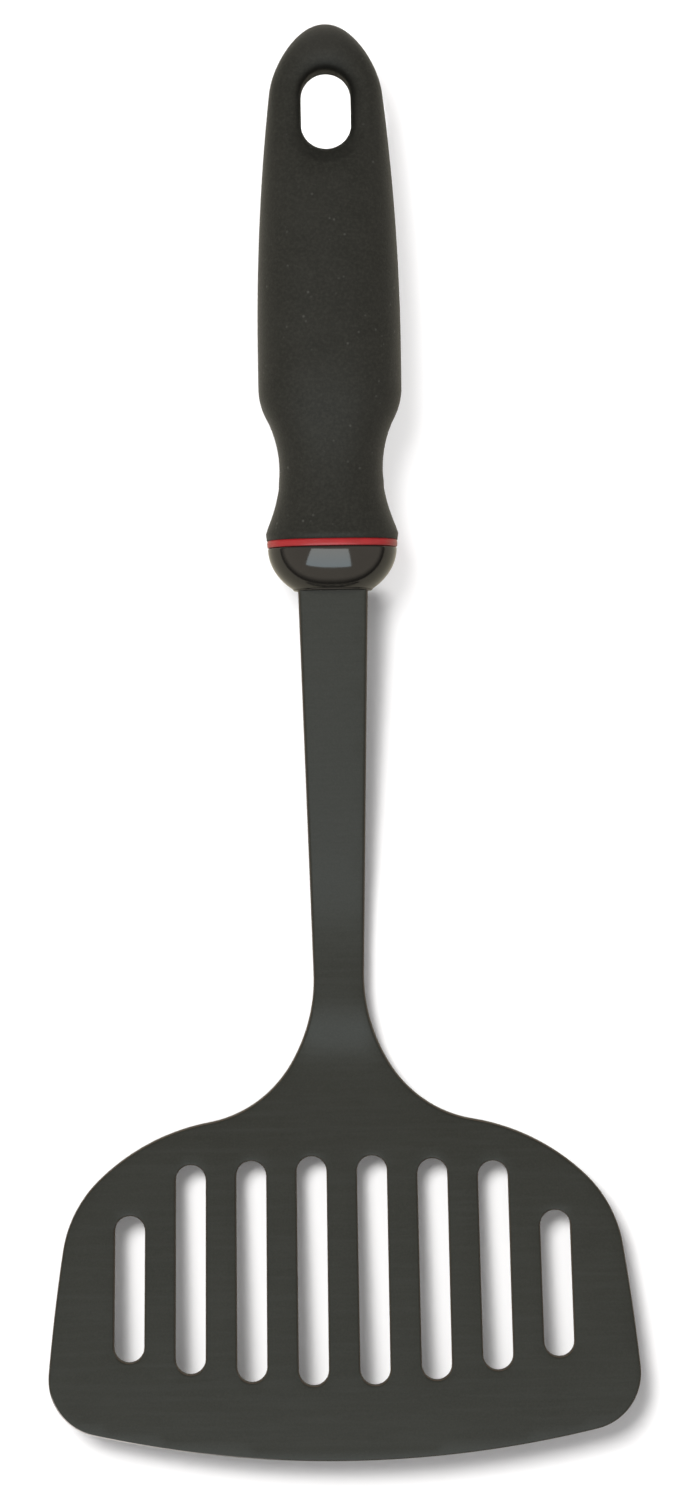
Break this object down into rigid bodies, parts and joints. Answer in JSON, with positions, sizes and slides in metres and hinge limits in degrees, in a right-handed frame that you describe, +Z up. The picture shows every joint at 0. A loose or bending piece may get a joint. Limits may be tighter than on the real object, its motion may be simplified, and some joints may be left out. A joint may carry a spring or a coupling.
{
  "type": "grill spatula",
  "caption": "Wide slotted nylon turner for grill and pan, with a tapering shank, a domed collar, a thin accent ring and a soft grip with an obround hang hole.",
  "frame": {"origin": "middle of the plan outline, on the surface that the tool lies on", "axes": "+Y along the tool towards the hang end, +X across the blade, +Z up, out of the side that carries the food"},
  "size_m": [0.1284, 0.3109, 0.0244],
  "materials": {
    "black_nylon": "matte",
    "gloss_black": "gloss",
    "red_plastic": "satin",
    "hard_core": "satin",
    "soft_grip": "matte"
  },
  "bodies": {
    "root": {"head": "black_nylon", "bolster": "gloss_black", "accent_ring": "red_plastic", "handle_core": "hard_core", "grip": "soft_grip"}
  },
  "joints": []
}
